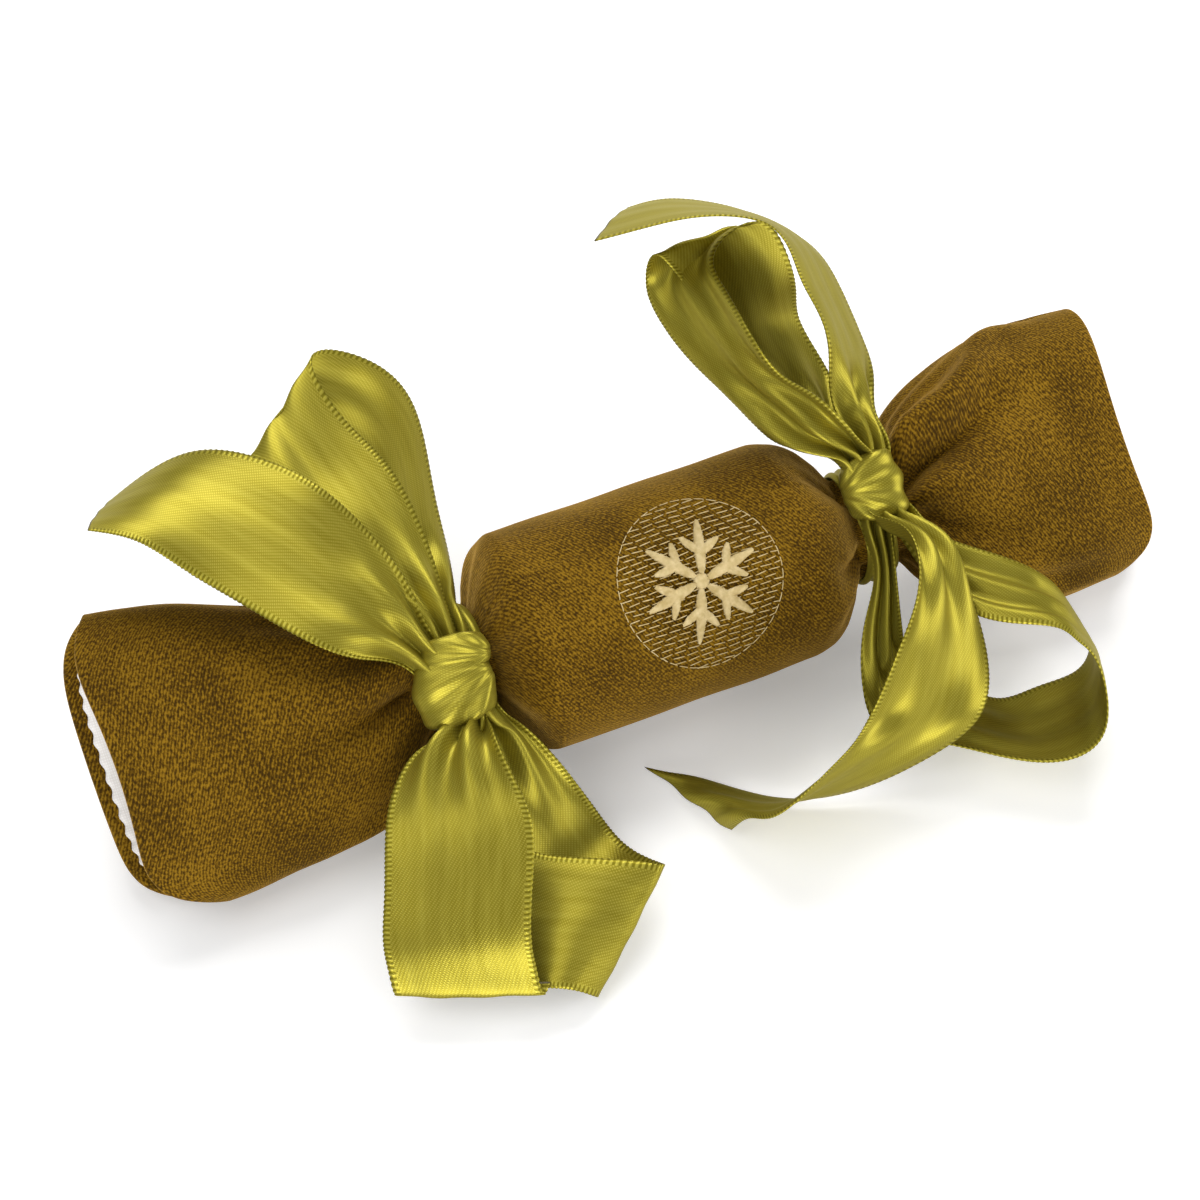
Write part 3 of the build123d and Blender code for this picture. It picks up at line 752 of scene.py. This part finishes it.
def make_ribbon(name, seed, satin, cut_end):
    side = name.split("_")[0]
    stations = [tucked(STATIONS[name][0]), *STATIONS[name]]
    if "loop" in name:
        stations.append(tucked(stations[-1]))
    middle, half, at = ribbon_frame(knot_place(side), stations)
    along = normalized(np.gradient(middle, axis=0))
    normal = normalized(np.cross(half, along))
    share = np.linalg.norm(half, axis=1) * 2 / RIBBON_WIDTH
    s = ribbon_columns()
    length = at[-1]
    from_knot = np.minimum(at, length - at) if "loop" in name else at
    draw = np.random.default_rng(seed)
    # Gathers that fan out from the knot
    gather = np.clip(1 - share, 0, 1)
    phase = draw.uniform(0, ANY_PHASE)
    drawn = gather ** 1.5 / (gather + PLEAT_SOFT)
    slack = PLEAT_SLACK * RIBBON_WIDTH * np.sqrt(np.clip(share, 0, 1)) * drawn / (math.pi * PLEATS)
    fade = PLEAT_LEFT + (1 - PLEAT_LEFT) * bell(from_knot / PLEAT_REACH)[:, None]
    pleats = np.cos(PLEATS * math.pi * s[None, :] + phase + PLEAT_DRIFT * at[:, None])
    lift = slack[:, None] * fade * pleats
    lift = lift + FINE_PLEAT_DEPTH * fade * np.cos(FINE_PLEATS * math.pi * s[None, :] + phase * 2)
    # Slack in the cloth and a slight crown across
    across = s[None, :] * RIBBON_WIDTH / 2
    lift = lift + RIPPLE * waves(at[:, None], across, seed + RIPPLE_SEED, count=5, reach=30)
    crown = CROWN * draw.choice([-1, 1]) * (1 - s[None, :] ** 2)
    lift = lift + crown * np.clip(from_knot / CROWN_REACH, 0, 1)[:, None]
    teeth = TOOTH_DEPTH * (0.5 + 0.5 * np.sign(np.sin(at * 2 * math.pi / TOOTH_PITCH)))
    spread = np.repeat(s[None, :], len(at), axis=0)
    spread[:, 0] -= teeth / (RIBBON_WIDTH / 2)
    spread[:, -1] += teeth / (RIBBON_WIDTH / 2)
    points = middle[:, None] + half[:, None] * spread[..., None] + normal[:, None] * lift[..., None]
    points[..., 2] = np.maximum(points[..., 2], LEAST_HEIGHT)
    uv = np.stack(np.meshgrid(at, s * RIBBON_WIDTH / 2, indexing="ij")[::-1], -1)
    piece = grid_object("satin_" + name, points, uv, satin, "barrel")
    # The last row of a tail, at its cut end, takes the darker colour
    if "tail" in name:
        piece.data.materials.append(cut_end)
        spans = len(s) - 1
        for face in piece.data.polygons[-spans:]:
            face.material_index = 1
    thicken(piece, RIBBON_THICKNESS)
    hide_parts(name)


def squared(wave):
    """A sine or cosine that is drawn towards its ends, for a round that is a little square."""
    return np.sign(wave) * np.abs(wave) ** WRAP_SQUARE


def make_wrap(name, side, up, width, half_sizes, tilt, corner, satin, replaced):
    """One turn of ribbon round a knot, with creases that fan out from a corner of its front."""
    half_right, half_out = half_sizes
    centre = knot_place(side) + UP * up
    turn = round_angles(TURN_COLUMNS)[None, :]
    s = np.linspace(-1, 1, TURN_ROWS)[:, None]
    tilt = math.radians(tilt)
    across = RIGHT * math.cos(tilt) + UP * math.sin(tilt)
    upward = UP * math.cos(tilt) - RIGHT * math.sin(tilt)
    flat_cos = squared(np.cos(turn))
    flat_sin = squared(np.sin(turn))
    tuck = 1 - WRAP_CROWN * s ** 2 - WRAP_LIP * np.abs(s) ** 10
    corner_right, corner_up = corner
    fan = np.arctan2(s - corner_up, flat_cos - corner_right)
    spread = np.clip(np.hypot(s - corner_up, flat_cos - corner_right) / CREASE_REACH, 0, 1)
    crease = CREASE_DEPTH * np.cos(CREASES * fan + CREASE_SWAY * np.sin(3 * fan)) * spread
    pinch = 1 - PINCH * np.clip(flat_cos * np.sign(corner_right), 0, 1) ** 2
    points = (
        centre + ((half_right * tuck + crease) * flat_cos)[..., None] * across
        + ((half_out * tuck + crease) * flat_sin)[..., None] * OUT
        + (s * width / 2 * pinch)[..., None] * upward
    )
    girth = math.pi * (half_right + half_out)
    uv = cloth_uv(s[:, 0] * WRAP_CLOTH, TURN_COLUMNS, girth)
    piece = grid_object(name, points, uv, satin, "barrel", closed=True)
    thicken(piece, RIBBON_THICKNESS)
    if replaced:
        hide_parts(replaced)


def make_band(side, satin):
    """The ribbon where it goes round the neck, drawn into pleats along its length."""
    turn = round_angles(TURN_COLUMNS)
    s = np.linspace(-1, 1, TURN_ROWS)
    pleat = BAND_PLEAT * np.cos(BAND_PLEATS * s[:, None] + BAND_SWAY * np.sin(turn * 2)[None, :])
    r = BAND_R + BAND_LIFT + pleat - BAND_DROOP * np.abs(s[:, None]) ** 4
    middle = NECK_X[side] + OUTWARD[side] * (BAND_OUTWARD - BAND_INWARD) / 2
    half = (BAND_OUTWARD + BAND_INWARD) / 2
    x = middle + s[:, None] * half * (1 - BAND_UNEVEN + BAND_UNEVEN * np.cos(turn * 3)[None, :])
    points = np.stack([x, r * np.sin(turn), AXIS_Z + r * np.cos(turn)], -1)
    uv = cloth_uv(s * BAND_CLOTH, TURN_COLUMNS, 2 * math.pi * BAND_R)
    name = side + "_ribbon_band"
    piece = grid_object("satin_" + name, points, uv, satin, "barrel", closed=True)
    thicken(piece, RIBBON_THICKNESS)
    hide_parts(name)


def make_bows(satin, cut_end):
    for seed, name in enumerate(STATIONS):
        make_ribbon(name, seed + 1, satin, cut_end)
    make_wrap("left_wrap_main", "left", up=-1.8, width=11.5, half_sizes=(7.1, 3.6), tilt=12,
              corner=(1.15, 0.7), satin=satin, replaced="left_knot")
    make_wrap("left_wrap_upper", "left", up=4.6, width=7.0, half_sizes=(6.0, 3.2), tilt=17,
              corner=(1.2, -0.6), satin=satin, replaced=None)
    make_wrap("right_wrap", "right", up=0, width=12.0, half_sizes=(5.5, 3.4), tilt=18,
              corner=(-1.2, 0.1), satin=satin, replaced="right_knot")
    for side in NECK_X:
        make_band(side, satin)


# Embroidery

BADGE_X = 3.0
BADGE_LEAN = math.radians(33.5)
THREAD_SIDES = 5
FIELD_R = 15.0
FIELD_THREAD = 0.09    # radius
FIELD_HEIGHTS = (0.12, 0.3)    # over the velvet: a base that a stitch dips under at its ends, and a top
FIELD_START = 0.6    # mm from the field's edge to its first row
FIELD_PITCH = 0.95    # mm between rows
FIELD_STITCH = 2.1
FIELD_GAP = 0.5
FIELD_SHORTEST = 0.8
FIELD_SWAY = 0.12    # mm that a stitch's start may lie off its row
FIELD_SWAY_STEP = 1.7    # radians of the sway's wave to a mm of the row
FIELD_SWAY_BACK = 0.6    # share of the sway that the stitch's end lies off to the other side
FIELD_BRICK = 0.9    # share of half a stitch that every other row is shifted by
RIM_STITCHES = 45
RIM_SHARE = 0.8    # share of the rim that its stitches cover
RIM_HEIGHTS = (0.12, 0.32)
ARMS = 6
ARM = 11.0
ARM_WIDTH = 1.8
ARM_START = 1.2    # mm from the middle
ARM_TURN = 12    # degrees from the barrel's axis to the first arm
BRANCH_START = 0.45    # the branches' start, length and width, as shares of the arm's
BRANCH_LENGTH = 0.4
BRANCH_WIDTH = 0.7
BRANCH_SWING = 50    # degrees between an arm and its branches
MOTIF_THREAD = 0.15
MOTIF_HEIGHTS = (0.3, 0.62)
MOTIF_PITCH = 0.24    # mm between stitches along an arm
MOTIF_LEAST = 0.12    # half width at an arm's ends
MOTIF_FIRST = 0.03    # place of the first stitch, as a share of the arm
MOTIF_BELLY = 0.8    # power that moves an arm's widest place towards its root
MOTIF_FULL = 0.7    # power that fills its shape out
MOTIF_UNEVEN = (0.9, 1.12)    # range of a stitch's length against the shape's
MOTIF_SLANT = 0.35    # lean of a stitch along the arm, as a share of its half length
BOSS_R = 1.5
BOSS_STITCHES = 14
BOSS_HEIGHTS = (0.35, 0.75)


def on_badge(a, b, lift):
    """Points at badge coordinates in mm, lifted that far off the barrel, and the way out at each."""
    along = np.array([1, 0, 0])
    out = np.array([0, -math.sin(BADGE_LEAN), math.cos(BADGE_LEAN)])
    up = np.array([0, math.cos(BADGE_LEAN), math.sin(BADGE_LEAN)])
    r = BARREL_R + lift
    height = np.sqrt(np.maximum(r * r - b * b, 1))
    middle = np.array([BADGE_X, 0, AXIS_Z])
    spot = middle + a[:, None] * along + b[:, None] * up + height[:, None] * out
    centre = np.stack([spot[:, 0], 0 * a, 0 * a + AXIS_Z], -1)
    return spot, normalized(spot - centre)


def stitch(start, end, heights):
    """One stitch that rises from the cloth, crosses it and goes back in."""
    low, high = heights
    t = np.array([0, 0.08, 0.3, 0.5, 0.7, 0.92, 1])
    lift = low + (high - low) * np.array([-0.4, 0.5, 0.9, 1, 0.9, 0.5, -0.4])
    a = start[0] + (end[0] - start[0]) * t
    b = start[1] + (end[1] - start[1]) * t
    return on_badge(a, b, lift)


def field_stitches():
    """Rows of running stitches in a round field, laid like bricks."""
    paths = []
    for k, b in enumerate(np.arange(-FIELD_R + FIELD_START, FIELD_R, FIELD_PITCH)):
        reach = math.sqrt(FIELD_R ** 2 - b * b)
        start = -reach + (FIELD_STITCH + FIELD_GAP) / 2 * (k % 2) * FIELD_BRICK
        while start + FIELD_SHORTEST < reach:
            end = min(start + FIELD_STITCH, reach)
            sway = FIELD_SWAY * math.sin(start * FIELD_SWAY_STEP + k)
            paths.append(stitch((start, b + sway), (end, b - sway * FIELD_SWAY_BACK), FIELD_HEIGHTS))
            start = end + FIELD_GAP
    rim = np.linspace(0, 2 * math.pi, RIM_STITCHES + 1)
    for one, two in zip(rim, rim[1:]):
        two = one + (two - one) * RIM_SHARE
        ends = [(FIELD_R * math.cos(turn), FIELD_R * math.sin(turn)) for turn in (one, two)]
        paths.append(stitch(*ends, RIM_HEIGHTS))
    return paths


def spindle_stitches(origin, turn, length, width):
    """Slanting satin stitches across one spindle."""
    paths = []
    draw = np.random.default_rng(int(abs(turn) * 7 + length * 10))
    way = np.array([math.cos(turn), math.sin(turn)])
    side = np.array([-way[1], way[0]])
    for t in np.arange(MOTIF_FIRST, 1.0, MOTIF_PITCH / length):
        half = width / 2 * math.sin(math.pi * min(1, t ** MOTIF_BELLY)) ** MOTIF_FULL + MOTIF_LEAST
        half *= draw.uniform(*MOTIF_UNEVEN)
        middle = origin + way * (t * length)
        slant = way * MOTIF_SLANT * half
        paths.append(stitch(middle - side * half - slant, middle + side * half + slant, MOTIF_HEIGHTS))
    return paths


def motif_stitches():
    paths = []
    for k in range(ARMS):
        turn = math.radians(360 / ARMS * k + ARM_TURN)
        way = np.array([math.cos(turn), math.sin(turn)])
        paths += spindle_stitches(way * ARM_START, turn, ARM - ARM_START, ARM_WIDTH)
        for swing in (-BRANCH_SWING, BRANCH_SWING):
            paths += spindle_stitches(
                way * BRANCH_START * ARM, turn + math.radians(swing), BRANCH_LENGTH * ARM,
                ARM_WIDTH * BRANCH_WIDTH)
    for t in np.linspace(0, math.pi, BOSS_STITCHES, endpoint=False):
        tip = BOSS_R * np.array([math.cos(t), math.sin(t)])
        paths.append(stitch(-tip, tip, BOSS_HEIGHTS))
    return paths


def make_embroidery(thread):
    field = tubes_object("field_stitches", field_stitches(), FIELD_THREAD, THREAD_SIDES, thread, "barrel")
    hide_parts("embroidery_field")
    motif = tubes_object("motif_stitches", motif_stitches(), MOTIF_THREAD, THREAD_SIDES, thread, "barrel")
    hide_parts("embroidery_motif")


# Contents, which keep their solids

def dress(node, material):
    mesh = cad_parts[node].data
    mesh.materials.clear()
    mesh.materials.append(material)


def dress_contents():
    card = pulp_material("card", linear(150, 128, 98), linear(176, 152, 120), roughness=0.85)
    paper = pulp_material("paper", linear(226, 222, 210), linear(242, 239, 230), roughness=0.8)
    tissue = pulp_material("tissue", linear(128, 24, 30), linear(156, 36, 42), roughness=0.7)
    for node in ("card_tube", "snap_strip_left", "snap_strip_right"):
        dress(node, card)
    for node in ("snap_wrapper", "motto_roll"):
        dress(node, paper)
    dress("paper_crown", tissue)
    dress("gift_top", wood_material())


# Studio

CAMERA_DISTANCE = 513.0
CAMERA_LENS = 84.63
SENSOR = 36.0
PIXELS_PER_MM = 5.5
ANCHOR = np.array([0, 0, AXIS_Z])
ANCHOR_SHIFT = (58, -6)    # pixels right of and below the middle of a 1200 pixel frame
LIGHT_TARGET = np.array([0, 0, 15.0])
AMBIENT = 0.25
FLOOR_HALF = 3.0    # metres
FLOOR_DROP = 0.0002    # metres
FLOOR_GLOW = 0.25    # light that the camera sees from the floor, over what the lamps give it


def stand(name, data, place, across, back):
    """A camera or lamp at a place in mm, which looks the other way from back."""
    piece = bpy.data.objects.new(name, data)
    turn = np.eye(4)
    turn[:3] = np.stack([across, np.cross(back, across), back, place * MM], -1)
    piece.matrix_world = Matrix(turn.tolist())
    bpy.context.scene.collection.objects.link(piece)
    return piece


def make_camera():
    camera = bpy.data.cameras.new("camera")
    camera.lens = CAMERA_LENS
    camera.sensor_width = SENSOR
    camera.clip_start = 0.01
    right, down = (shift / PIXELS_PER_MM for shift in ANCHOR_SHIFT)
    eye = ANCHOR - RIGHT * right + UP * down + OUT * CAMERA_DISTANCE
    bpy.context.scene.camera = stand("camera", camera, eye, RIGHT, OUT)


def make_light(name, place, size, power):
    """A square softbox that faces the cracker. Place and size are in mm."""
    lamp = bpy.data.lights.new(name, "AREA")
    lamp.energy = power
    lamp.size = size * MM
    place = np.array(place, float)
    back = normalized(place - LIGHT_TARGET)
    stand(name, lamp, place, normalized(np.cross([0, 0, 1], back)), back)


def make_world():
    """A white background for the camera, and a weaker white light for the rest."""
    world = bpy.data.worlds.new("studio")
    world.use_nodes = True
    tree = world.node_tree
    tree.nodes.clear()
    path = add(tree, "ShaderNodeLightPath").outputs
    dim = add(tree, "ShaderNodeBackground", {"Color": (1, 1, 1, 1), "Strength": AMBIENT})
    white = add(tree, "ShaderNodeBackground", {"Color": (1, 1, 1, 1), "Strength": 1.0})
    mix = add(tree, "ShaderNodeMixShader", {
        0: path["Is Camera Ray"], 1: dim.outputs[0], 2: white.outputs[0]})
    add(tree, "ShaderNodeOutputWorld", {"Surface": mix.outputs[0]})
    bpy.context.scene.world = world


def make_floor():
    mesh = bpy.data.meshes.new("floor")
    half = FLOOR_HALF
    corners = [(-half, -half, 0), (half, -half, 0), (half, half, 0), (-half, half, 0)]
    mesh.from_pydata(corners, [], [(0, 1, 2, 3)])
    material, tree, shader = start_material(
        "floor", Base_Color=(0.9, 0.9, 0.9, 1), Roughness=0.9, Emission_Color=(1, 1, 1, 1))
    path = add(tree, "ShaderNodeLightPath").outputs
    glow = sums(tree, "MULTIPLY", path["Is Camera Ray"], FLOOR_GLOW)
    tree.links.new(glow, shader.inputs["Emission Strength"])
    mesh.materials.append(material)
    floor = bpy.data.objects.new("floor", mesh)
    floor.location.z = -FLOOR_DROP
    bpy.context.scene.collection.objects.link(floor)


def make_studio():
    make_camera()
    make_light("key", (-380, -60, 640), size=420, power=1.3)
    make_light("fill", (520, -300, 170), size=420, power=2.4)
    make_light("top", (100, 400, 500), size=500, power=3.8)
    make_light("front", (-220, -540, 150), size=300, power=2.2)
    make_world()
    make_floor()
    bpy.context.scene.view_settings.view_transform = "Standard"


velvet = velvet_material()
cotton = cotton_material()
satin = satin_material()
make_barrel(velvet, cotton)
for side in NECK_X:
    make_end(side, velvet, cotton)
make_bows(satin, cut_end_material())
make_embroidery(thread_material())
dress_contents()
make_studio()
